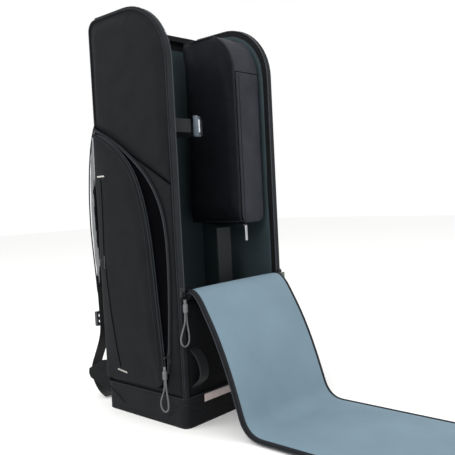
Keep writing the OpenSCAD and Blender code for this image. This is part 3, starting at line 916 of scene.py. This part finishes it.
class CASE_OT_lining(bpy.types.Operator):
    """Adds the brushed lining on the inside of both walls and the back"""

    bl_idname = "case.lining"
    bl_label = "Lining"

    def execute(self, context):
        for side, name in ((-1, "left"), (1, "right")):
            obj = plate(f"{name}_wall_lining", side_profile(10, 37), SIDE,
                        (side * (INNER_X + 2.2), 0, 0), 6, 1.5)
            remesh(obj, 0.0045)
            modify(obj, "SMOOTH", factor=0.5, iterations=3)
            crease(obj, 1.8, 90)
            done(obj, "case", "inside", "inner_lining", slot="lining", fill=0.3)
        back = loft("back_lining", [(0, 96.6, z) for z in range(37, 736, 10)], X,
                    oblong(2 * INNER_X - 2, 3, 1, 0.3, 8))
        crease(back, 1.6, 90)
        done(back, "case", "inside", "inner_lining", slot="lining", fill=0.3)
        return {"FINISHED"}


class CASE_OT_back(bpy.types.Operator):
    """Adds the back panel, the two mesh back pads and the grab handle"""

    bl_idname = "case.back"
    bl_label = "Back panel and pads"

    def execute(self, context):
        mid, reach = 6.0, BACK_TOP_R - 6.0
        route = [(0, BACK_Y - mid, z) for z in range(4, int(TOP_Z - BACK_TOP_R), 15)]
        route += [(0, BACK_Y - BACK_TOP_R + reach * math.cos(math.radians(a)),
                   TOP_Z - BACK_TOP_R + reach * math.sin(math.radians(a))) for a in range(0, 91, 10)]
        route.append((0, 87.5, TOP_Z - mid))
        panel = loft("back_panel_padding", route, X, oblong(2 * INNER_X, 11.6, 2.0, 0.2, 10))
        crease(panel, 1.2, 80)
        done(panel, "case", "wall", "back_panel", slot="wall_fabric", fill=0.7)
        for part, rows in (("back_pad", (350, 400, 450, 500)), ("lumbar_pad", (168, 218))):
            low, high = span(part)
            w, r, y = high.x - 3, 20, (low.y + high.y) / 2
            upper, lower = high.z - 3 - r, low.z + 3 + r
            outline = rounded((w - r, upper, r), (r - w, upper, r), (r - w, lower, r), (w - r, lower, r))
            pad = plate(f"{part}_cushion", outline, FRONT, (0, y - 1, 0), 9, 3)

            def sewn(p, rows=rows, y=y, w=w):
                return p.y < y or abs(abs(p.x) - 26) < 3.5 or any(abs(p.z - row) < 3 for row in rows[1:-1])
            swell(pad, 5.5, 7.0, sewn, 0.0065)
            done(pad, "case", "mesh", part, slot="air_mesh", fill=0.7)
            edge = [(a, high.y - 5, b) for a, b in outline]
            done(bead(f"{part}_piping", edge, 1.8, closed=True), "case", "binding", slot="air_mesh")

        low, high = span("grab_handle")
        y, w, top = (low.y + high.y) / 2, high.x - 11, high.z
        grip = smooth_route([(-w, y, top - 2), (-w, y + 0.5, top - 20), (-w + 8, y + 1, low.z + 11),
                             (-w / 2, y + 1.5, low.z + 9), (0, y + 2, low.z + 8.5), (w / 2, y + 1.5, low.z + 9),
                             (w - 8, y + 1, low.z + 11), (w, y + 0.5, top - 20), (w, y, top - 2)], 6)
        roll = loft("grab_handle_webbing", grip, Y, oblong(7, 21, 2.5, 0.4))
        tacks = [bar_tack(f"handle_tack_{k}", (x - 9, high.y - 1, z), (x + 9, high.y - 1, z), (0, 0, 1), 2.4)
                 for k, (x, z) in enumerate(((-w, top - 6), (w, top - 6)))]
        done(roll, "grab_handle", "webbing", "grab_handle", slot="webbing")
        done(joined("grab_handle_tacks", *tacks), "grab_handle", "binding", slot="webbing")
        return {"FINISHED"}


class CASE_OT_straps(bpy.types.Operator):
    """Adds both shoulder straps with their webbing, ladder locks and wings"""

    bl_idname = "case.straps"
    bl_label = "Shoulder straps"

    def execute(self, context):
        for name in ("left", "right"):
            low, high = span(f"{name}_shoulder_strap")
            x, width = (low.x + high.x) / 2, high.x - low.x
            route = smooth_route([(x, a, b) for a, b in PAD_ROUTE], 4)
            pad = loft(f"{name}_strap_pad", route, X, oblong(width - 4, 8.5, 2.5, 0.8, 4))
            swell(pad, 3.0, 3.0, voxel=0.0055)
            paint(pad, ("mesh", "wall"), lambda p, n: 1 if abs(n.x) < 0.6 else 0)
            done(pad, "case", "mesh", f"{name}_shoulder_strap", slot="strap_pad", fill=0.7)
            seams = [bead(f"{name}_strap_edge_{k}", [p + X * (k * (width / 2 - 3.5)) + Y * 3.2 for p in route],
                          1.3) for k in (-1, 1)]
            done(joined(f"{name}_strap_binding", *seams), "case", "binding", slot="strap_pad")

            low, high = span(f"{name}_strap_webbing")
            x, width = (low.x + high.x) / 2, high.x - low.x
            web = loft(f"{name}_strap_webbing_band", smooth_route([(x, a, b) for a, b in WEBBING_ROUTE], 5), X,
                       oblong(width, 2, 0.7))
            done(web, "case", "webbing", f"{name}_strap_webbing", slot="webbing")
            done(from_node(f"{name}_ladder_lock_frame", f"{name}_ladder_lock", 1.2, 3), f"{name}_lock", "plug",
                 f"{name}_ladder_lock", slot="buckle_black")
            wing = from_node(f"{name}_strap_wing_fabric", f"{name}_strap_wing", 0)
            remesh(wing, 0.0022)
            modify(wing, "SMOOTH", factor=0.5, iterations=4)
            crease(wing, 1.6, 35)
            done(wing, "case", "wall", f"{name}_strap_wing", slot="wall_fabric")
        return {"FINISHED"}


class CASE_OT_pocket(bpy.types.Operator):
    """Adds the side pocket: its padded panel with a dart and bar tacks, its zip and a near-black sheet behind it,
    painted shade in its open mouth
    """

    bl_idname = "case.pocket"
    bl_label = "Side pocket"

    def execute(self, context):
        low, high = span("pocket_panel")
        edge = [(p.x, p.y) for p in smooth_route([(a, b, 0) for a, b in POCKET_EDGE], 4)]
        outline = [(102, 64), (-48, 64)] + edge
        panel = plate("side_pocket_panel", outline, SIDE, ((low.x + high.x) / 2 - 0.5, 0, 0), 5.4, 2)
        swell(panel, 6.0, 7.0, lambda p: p.x > high.x - 0.5 or p.y > 97 or p.z < 68, 0.0055)
        crease(panel, 1.6, 120)
        done(panel, "pocket_panel", "outer", "pocket_panel", slot="outer_fabric", fill=0.4)

        # the dart: a near-black bead along its valley, painted shade in the crease
        dart = smooth_route([(0, a, b) for a, b in POCKET_DART], 5)
        valley = bead("pocket_dart", on_skin(panel, [(p.y, p.z) for p in dart], -1, 0.1), 1.0)
        zip_run = smooth_route([(0, a, b) for a, b in POCKET_EDGE[2:-1]], 4)
        inner = [(p.y + 9.5, p.z - 2.5) for p in zip_run]
        outer = [(p.y + 1.5, p.z - 0.5) for p in zip_run]
        lines = [bead("pocket_zip_line", on_skin(panel, inner, -1, 0.1), 1.0),
                 bead("pocket_zip_edge", [(-154, a, b) for a, b in outer], 1.8)]
        done(valley, "pocket_panel", "dark", slot="outer_fabric")
        done(joined("pocket_panel_piping", *lines), "pocket_panel", "binding", slot="outer_fabric")
        track = [(-150.5, a - 1.2, b) for a, b in outer]
        tooth = (2.4, 1.9, 1.6)
        done(teeth("pocket_panel_teeth", track, tooth), "pocket_panel", "teeth", slot="zip_tape")

        tacks = []
        for k, (a, b, side) in enumerate((((62, 456), (87, 456), (0, 0, 1)), ((33, 84), (60, 87), (0, 0, 1)),
                                          ((78, 280), (78.5, 304), (0, 1, 0)))):
            ends = on_skin(panel, (a, b), -1, 0.6)
            tacks.append(bar_tack(f"pocket_tack_{k}", *ends, side, 2.6 if k < 2 else 1.6))
        done(joined("pocket_bar_tacks", *tacks[:2]), "pocket_panel", "thread", slot="outer_fabric")
        done(tacks[2], "pocket_panel", "rubber", slot="outer_fabric")

        # the mouth: a near-black sheet on the case's side, painted shade inside the open pocket, with the other
        # half of the zip round it
        mouth = [(p.x, p.y) for p in smooth_route([(a, b, 0) for a, b in POCKET_MOUTH], 4)]
        back = plate("pocket_lining", [(100, 66), (-66, 66), (-72, 90)] + mouth, SIDE,
                     (-OUTER_X - 2.9, 0, 0), 3, 0.8)
        remesh(back, 0.0035)
        crease(back, 0.8, 40)
        done(back, "case", "dark", "pocket_gusset", slot="wall_fabric", fill=0.2)
        rim = bead("pocket_mouth_binding", [(-OUTER_X - 4.6, a, b) for a, b in mouth], 2.4)
        done(rim, "case", "binding", slot="zip_tape")
        inside = [(-OUTER_X - 5.2, a + 2.6, b - 1.2) for a, b in mouth]
        done(teeth("pocket_mouth_teeth", inside, tooth), "case", "teeth", slot="zip_tape")
        hem_line = at_x([(-60, 66), (20, 66), (94, 66), (98, 76), (98, 300), (98, 535)], -OUTER_X - 4.8)
        hem = loft("pocket_gusset_band", smooth_route(hem_line, 6), X, oblong(5.4, 5, 1.5))
        done(hem, "case", "wall", "pocket_gusset", slot="wall_fabric")

        # pale grey edge patch behind the top of the pocket
        patch = plate("back_edge_patch", [(103, 533), (91, 529), (97, 480), (103, 438)], SIDE,
                      (-OUTER_X - 10.6, 0, 0), 1.4, 0.4)
        done(patch, "pocket_panel", "mesh", slot="air_mesh")
        return {"FINISHED"}


class CASE_OT_front(bpy.types.Operator):
    """Adds the low front panel, its reflective strip and grab loop, and the tab on the right side"""

    bl_idname = "case.front"
    bl_label = "Front panel"

    def execute(self, context):
        low, high = span("front_panel")
        outline = [(low.x + 1, low.z), (high.x - 1, low.z), (high.x - 1, high.z - 3), (low.x + 1, high.z - 3)]
        panel = plate("front_panel_padding", outline, FRONT, (0, (low.y + high.y) / 2, 0), 9, 2.5)
        swell(panel, 5.0, 6.0, lambda p: p.y > (low.y + high.y) / 2 or p.z < 60, 0.0065)
        crease(panel, 3.0, 55)
        done(panel, "case", "wall", "front_panel", slot="wall_fabric", fill=0.4)

        low, high = span("reflective_strip")
        z, h = (low.z + high.z) / 2, high.z - low.z
        strip = loft("reflective_tape", [(x, low.y + 0.3, z) for x in range(-98, 99, 7)], Z, oblong(h, 0.8, 0.3))
        done(strip, "case", "reflective", "reflective_strip", slot="reflective")
        rows = [bead(f"tape_stitch_{k}", [(x, low.y - 0.15, z + k * (h / 2 - 1.5)) for x in (-97, 97)], 0.3,
                     sides=1) for k in (-1, 1)]
        done(joined("reflective_tape_stitching", *rows), "case", "thread", slot="reflective")

        low, high = span("front_grab_loop")
        x, w = (low.x + high.x) / 2, high.x - low.x
        route = smooth_route([(x, -109.5, 140), (x, -112, 136), (x, -123, 126), (x, -130, 112), (x, -131.5, 99),
                              (x, -127, 87), (x, -113, 75), (x, -109.5, 71)], 5)
        done(loft("front_grab_loop_webbing", route, X, oblong(w, 2, 0.7)), "case", "webbing", "front_grab_loop",
             slot="webbing")
        marks = [bar_tack(f"loop_tack_{z}", (x - 9, -111.6, z), (x + 9, -111.6, z), (0, 0, 1), 2.2)
                 for z in (141.5, 70)]
        done(joined("front_grab_loop_tacks", *marks), "case", "binding", slot="webbing")

        low, high = span("right_side_tab")
        z, h = (low.z + high.z) / 2, high.z - low.z
        y = (low.y + high.y) / 2
        route = smooth_route([(low.x - 1, y, z), (low.x + 14, y - 1.2, z), (low.x + 28, y - 0.6, z),
                              (high.x - 3, y + 0.6, z), (high.x - 0.8, y + 1.6, z), (high.x - 5, y + 2.6, z),
                              (low.x + 22, y + 2.0, z)], 5)
        done(loft("right_side_tab_webbing", route, Z, oblong(h, 1.8, 0.6)), "case", "tab", "right_side_tab",
             slot="side_webbing")
        return {"FINISHED"}


class CASE_OT_tube_strap(bpy.types.Operator):
    """Adds the strap round the tube's place and its side-release buckle"""

    bl_idname = "case.tube_strap"
    bl_label = "Tube strap"

    def execute(self, context):
        low, high = span("tube_strap_left")
        z, w = (low.z + high.z) / 2, high.z - low.z
        cx, cy, r = -67.5, -10, 63
        anchor_low, anchor_high = span("tube_strap_anchor")

        def arc(start, end):
            return [(cx + r * math.cos(math.radians(a)), cy + r * math.sin(math.radians(a)), z)
                    for a in range(start, end + 1, 4)]
        done(loft("tube_strap_left_band", arc(198, 279), Z, oblong(w, 2, 0.6)), "case", "webbing",
             "tube_strap_left", slot="webbing")
        tail = [(cx + r, y, z) for y in range(0, int(anchor_low.y) - 4, 8)]
        done(loft("tube_strap_right_band", arc(330, 358) + tail, Z, oblong(w, 2, 0.6)), "strap_end", "webbing",
             "tube_strap_right", slot="webbing")
        root = loft("tube_strap_anchor_fold", [((anchor_low.x + anchor_high.x) / 2, y, z)
                    for y in range(int(anchor_low.y), int(anchor_high.y) + 1, 3)], Z, oblong(w + 1, 4, 1.2))
        done(root, "case", "webbing", "tube_strap_anchor", slot="webbing")
        done(from_node("buckle_socket_moulding", "buckle_socket", 1.1, 3), "case", "socket", "buckle_socket",
             slot="buckle_blue_grey")
        done(from_node("buckle_plug_moulding", "buckle_plug", 1.1, 3), "strap_end", "plug", "buckle_plug",
             slot="buckle_black")

        # the label: a small pale plate on the socket's broad face
        turn = math.radians(303)
        out, along = Vector((math.cos(turn), math.sin(turn), 0)), Vector((-math.sin(turn), math.cos(turn), 0))
        face = Vector((cx, cy, z)) + out * (r - 1 + 9.4)
        label = loft("buckle_label_plate", [face + along * k for k in (-19, -17, -13, -11)], Z,
                     oblong(24, 1.0, 0.3))
        done(label, "case", "label", slot="buckle_blue_grey")
        keeper = loft("tube_strap_keeper", [face + along * k + out * 0.8 for k in (-9, -6, -1, 2)], Z,
                      oblong(28, 1.6, 0.5))
        done(keeper, "case", "plug", slot="buckle_black")
        return {"FINISHED"}


class CASE_OT_pouch(bpy.types.Operator):
    """Adds the hanging accessory pouch with its lid, zip, piping and sling"""

    bl_idname = "case.pouch"
    bl_label = "Accessory pouch"

    def execute(self, context):
        body = from_node("pouch_body_shell", "pouch_body", 0)
        # its front stays flat behind the lid and the top panel
        swell(body, 4.0, 3.0, lambda p: p.y < -80 or (Vector((0, p.y - 2, max(p.z - 646, 0))).length > 85
                                                      and p.y < 30), 0.0062)
        crease(body, 2.2, 70)
        low, high = span("pouch_body")
        # faces turned up or to the front take the pouch fabric, the rest its darker copy: painted shade on the
        # sides
        paint(body, ("gusset", "pouch"), lambda p, n: 1 if n.z > 0.5 or n.y < -0.5 else 0)
        done(body, "pouch", "gusset", "pouch_body", slot="pouch_fabric", fill=0.7)

        lid_low, lid_high = span("pouch_lid")
        w, r = (lid_high.x - lid_low.x) / 2, 16
        cx = (lid_low.x + lid_high.x) / 2
        upper, lower = lid_high.z - 1, lid_low.z + r + 1
        outline = rounded((cx + (w - 2), upper, 1), (cx + (2 - w), upper, 1),
                          (cx + (r + 1 - w), lower, r), (cx + (w - r - 1), lower, r))
        lid = plate("pouch_lid_panel", outline, FRONT, (0, (lid_low.y + lid_high.y) / 2 + 0.4, 0), 5, 2)
        swell(lid, 1.0, 5.0, lambda p: p.y > (lid_low.y + lid_high.y) / 2 + 1, 0.005)
        done(lid, "pouch_lid", "pouch", "pouch_lid", slot="pouch_fabric", fill=0.5)
        # above the lid the front fabric carries on up and over the top
        crown = [(cx, 2 - 92.7 * math.cos(math.radians(a)), 646 + 92.7 * math.sin(math.radians(a)))
                 for a in range(3, 52, 4)]
        over = loft("pouch_top_panel", crown, X, oblong(2 * w - 2, 3.2, 1.3, 0.5, 4))
        done(over, "pouch", "pouch", slot="pouch_fabric", fill=0.5)

        # the zip runs down the front near its left edge and turns in round the bottom corner
        x = lid_low.x + 7.5
        seam = [(x, z) for z in range(646, 380, -10)] + [(x, 372), (x + 1, 364), (x + 4, 357)]
        zip_line = bead("pouch_zip_line", on_skin(lid, seam, "front", 0.1), 1.0)
        done(zip_line, "pouch_lid", "binding", slot="zip_tape")

        # the long edges are rounded at 18 mm, so the piping lies 5.3 mm in along the top and the bottom
        frame_line = [(5.3, 52, 729.5), (5.3, 10, 729.5), (5.3, -34, 729)]
        frame_line += [(1.2 + 3 * max(0, a - 50) / 15, 2 - 91 * math.cos(math.radians(a)),
                        646 + 91 * math.sin(math.radians(a))) for a in range(60, -1, -6)]
        frame_line += [(1.2, -88.5, z) for z in range(630, 370, -20)]
        frame_line += [(3, -87, 362), (5.3, -82, 355), (5.3, 52, 355)]
        piping = bead("pouch_left_piping", [(low.x + a, b, c) for a, b, c in frame_line], 1.6)
        other = bead("pouch_right_piping", [(high.x - a, b, c) for a, b, c in frame_line], 1.6)
        done(joined("pouch_piping", piping, other), "pouch", "binding", slot="pouch_fabric")

        done(from_node("pouch_zip_slider", "pouch_slider", 0.6), "pouch_slider", "slider", "pouch_slider",
             slot="slider_metal")
        done(from_node("pouch_zip_puller", "pouch_puller", 0.6), "pouch_puller", "puller", "pouch_puller",
             slot="puller_metal")
        low, high = span("pouch_webbing")
        x, width = (low.x + high.x) / 2, high.x - low.x
        sling = loft("pouch_sling_band", smooth_route([(x, a, b) for a, b in SLING_ROUTE], 4), X,
                     oblong(width, 2, 0.7))
        done(sling, "case", "sling", "pouch_webbing", slot="webbing")
        return {"FINISHED"}


def flap_profile():
    """The flap's cross-section as (across, out): swollen lining, binding beads, zip tape lips, outer fabric."""
    half = 129.0
    top = [(-half, 0.0), (-half, 0.9), (-124.8, 1.1), (-124.4, 3.4), (-122.8, 4.7), (-120.9, 4.6), (-119.4, 3.2),
           (-117.5, 3.6), (-112, 4.8), (-96, 5.4), (-60, 5.7), (-20, 5.8), (20, 5.8),
           (60, 5.7), (96, 5.4), (112, 4.8), (117.5, 3.6), (119.4, 3.2), (120.9, 4.6), (122.8, 4.7),
           (124.4, 3.4), (124.8, 1.1), (half, 0.9), (half, 0.0)]
    under = [(half, -0.9), (125, -1.3), (123.5, -4.0), (118, -4.7), (60, -5.2), (0, -5.3),
             (-60, -5.2), (-118, -4.7), (-123.5, -4.0), (-125, -1.3), (-half, -0.9)]
    return top + under


class CASE_OT_flap(bpy.types.Operator):
    """Adds the padded front flap, hanging from its fold down to the floor, one stretch per hinge"""

    bl_idname = "case.flap"
    bl_label = "Front flap"

    def execute(self, context):
        corners = [Vector((0, *p)) for p in FLAP_HINGES]
        ends = corners[1:] + [Vector((0, *FLAP_END))]
        middles = [(a + b) / 2 for a, b in zip(corners, ends)]
        starts = [Vector((0, corners[0].y, corners[0].z - 11))] + middles[:-1]
        stops = middles[:-1] + [ends[-1]]
        for k, (start, corner, stop) in enumerate(zip(starts, corners, stops)):
            # the two sharp bends are kept short; a closed flap would lie nearly flat there, though these
            # stretches are not tied to its hinges
            back, on = start - corner, stop - corner
            bend = back.angle(-on) > 0.5
            longest = 34.0 if bend else 200.0
            turn_in = corner + back.normalized() * min(back.length, longest)
            turn_out = corner + on.normalized() * min(on.length, longest)
            steps, least = 14, 8
            straight_in, straight_out = (start - turn_in).length > least, (stop - turn_out).length > least
            route = [start.lerp(turn_in, i / 4) for i in range(4) if straight_in]
            route += [turn_in.lerp(corner, i / steps).lerp(corner.lerp(turn_out, i / steps), i / steps)
                      for i in range(steps + 1)]
            route += [turn_out.lerp(stop, i / 4) for i in range(1, 5) if straight_out]
            piece = self.stretch(f"flap_stretch_{k + 1}", route)
            rows = [teeth(f"flap_row_{k}_{side}", [p + X * (side * 127.8) for p in route],
                          (2.6, 1.9, 1.7)) for side in (-1, 1)]
            row = joined(f"flap_teeth_{k + 1}", *rows)
            for obj, finish, slot in ((piece, "lining", "flap_padded"), (row, "teeth", "zip_tape")):
                only(obj)
                if not obj.data.materials:
                    obj.data.materials.append(MATERIALS[finish])
                bpy.ops.object.shade_smooth_by_angle(angle=math.radians(45), keep_sharp_edges=False)
                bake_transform(obj)
            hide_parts(FLAP_NODES[k])
        return {"FINISHED"}

    def stretch(self, name, route):
        """One stretch of the flap along route, its lining, binding, tape and outer fabric painted on."""
        piece = loft(name, route, X, flap_profile())
        nearest = []
        for face in piece.data.polygons:
            at = face.center / MM
            flat = Vector((0, at.y, at.z))
            k = min(range(len(route)), key=lambda i: (route[i] - flat).length_squared)
            ahead = (route[min(k + 1, len(route) - 1)] - route[max(k - 1, 0)]).normalized()
            nearest.append((flat - route[k]).dot(ahead.cross(X)))
        for finish in ("lining", "wall", "tape", "binding"):
            piece.data.materials.append(MATERIALS[finish])
        for face, out in zip(piece.data.polygons, nearest):
            across = abs(face.center.x / MM)
            if across > 124.6:
                face.material_index = 2
            elif across > 119:
                face.material_index = 3
            else:
                face.material_index = 0 if out > 0 else 1
        return piece


CLASSES_OF_PIECES = (CASE_OT_stage, CASE_OT_pulls, CASE_OT_base, CASE_OT_walls, CASE_OT_rims, CASE_OT_lining,
                     CASE_OT_back, CASE_OT_straps, CASE_OT_pocket, CASE_OT_front, CASE_OT_tube_strap,
                     CASE_OT_pouch, CASE_OT_flap)


class CASE_PT_panel(bpy.types.Panel):
    """Lists the case's sizes, colours and pieces"""

    bl_idname = "CASE_PT_panel"
    bl_label = "Telescope carry case"
    bl_space_type = "VIEW_3D"
    bl_region_type = "UI"
    bl_category = "Case"

    def draw(self, context):
        for group in (context.scene.case_sizes, context.scene.case_colours):
            for name in group.__annotations__:
                self.layout.prop(group, name)
        for piece in CLASSES_OF_PIECES:
            self.layout.operator(piece.bl_idname)


CLASSES = (CaseSizes, CaseColours) + CLASSES_OF_PIECES + (CASE_PT_panel,)


def register():
    for made in CLASSES:
        bpy.utils.register_class(made)
    bpy.types.Scene.case_sizes = bpy.props.PointerProperty(type=CaseSizes)
    bpy.types.Scene.case_colours = bpy.props.PointerProperty(type=CaseColours)


def unregister():
    del bpy.types.Scene.case_sizes, bpy.types.Scene.case_colours
    for made in reversed(CLASSES):
        bpy.utils.unregister_class(made)


def main():
    register()
    MATERIALS.update(make_materials(bpy.context.scene.case_colours))
    for piece in CLASSES_OF_PIECES:
        group, name = piece.bl_idname.split(".")
        getattr(getattr(bpy.ops, group), name)()
    clear()


if __name__ == "__main__":
    main()
